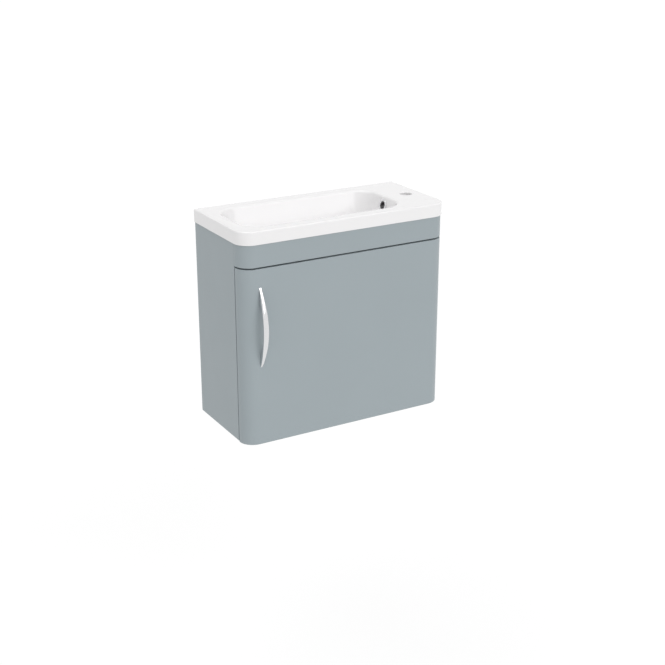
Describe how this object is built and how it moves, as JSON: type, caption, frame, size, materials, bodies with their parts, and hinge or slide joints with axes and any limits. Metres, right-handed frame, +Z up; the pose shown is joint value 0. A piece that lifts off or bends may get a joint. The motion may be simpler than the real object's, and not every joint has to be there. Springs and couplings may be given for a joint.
{
  "type": "wall-hung vanity unit",
  "caption": "Slim wall-hung cloakroom vanity: white basin with side tap deck on a grey cabinet with rounded front corners, a hinged door and a chrome bow handle.",
  "frame": {"origin": "on the wall plane, in the middle of the width, level with the underside of the carcass", "axes": "+X to the right of the unit seen from the front, +Y into the wall, +Z up; the front faces -Y"},
  "size_m": [0.45, 0.225, 0.4215],
  "materials": {
    "basin_glaze": "gloss",
    "cabinet_foil": "satin",
    "chrome": "polished",
    "zinc": "satin",
    "nickel_steel": "polished",
    "grey_plastic": "satin",
    "white_plastic": "satin",
    "beech": "matte",
    "clear_rubber": "satin"
  },
  "bodies": {
    "carcass": {"basin": "basin_glaze", "overflow_ring": "chrome", "left_side_panel": "cabinet_foil", "right_side_panel": "cabinet_foil", "bottom_panel": "cabinet_foil", "rear_rail": "cabinet_foil", "back_panel": "cabinet_foil", "front_fascia": "cabinet_foil", "cam_locks": "zinc", "cam_bolts": "zinc", "cam_covers": "grey_plastic", "panel_dowels": "beech", "fascia_dowels": "beech", "hinge_plate_screws": "zinc", "hinge_adjusters": "zinc", "hanger_adjusters": "zinc", "hanger_screws": "zinc", "lower_hinge_arm": "nickel_steel", "lower_hinge_plate": "nickel_steel", "upper_hinge_arm": "nickel_steel", "upper_hinge_plate": "nickel_steel", "left_hanger_housing": "white_plastic", "left_hanger_hook": "zinc", "left_wall_plate": "zinc", "right_hanger_housing": "white_plastic", "right_hanger_hook": "zinc", "right_wall_plate": "zinc"},
    "hinge_links": {"lower_hinge_link": "nickel_steel", "upper_hinge_link": "nickel_steel"},
    "door": {"door": "cabinet_foil", "handle": "chrome", "handle_screws": "zinc", "door_buffers": "clear_rubber", "lower_hinge_cup": "nickel_steel", "upper_hinge_cup": "nickel_steel", "lower_hinge_pin": "nickel_steel", "upper_hinge_pin": "nickel_steel", "hinge_cup_screws": "zinc"}
  },
  "joints": [
    {"name": "link_slide", "type": "slide", "parent": "carcass", "child": "hinge_links", "axis": [0, -1, 0], "range_m": [0, 0.0183]},
    {"name": "door_swing", "type": "hinge", "parent": "hinge_links", "child": "door", "pos_m": [0.209, -0.177, 0.174], "axis": [0, 0, 1], "range_deg": [0, 95]}
  ],
  "couplings": [
    {"joint": "link_slide", "follows": "door_swing", "m_per_rad": 0.011}
  ]
}
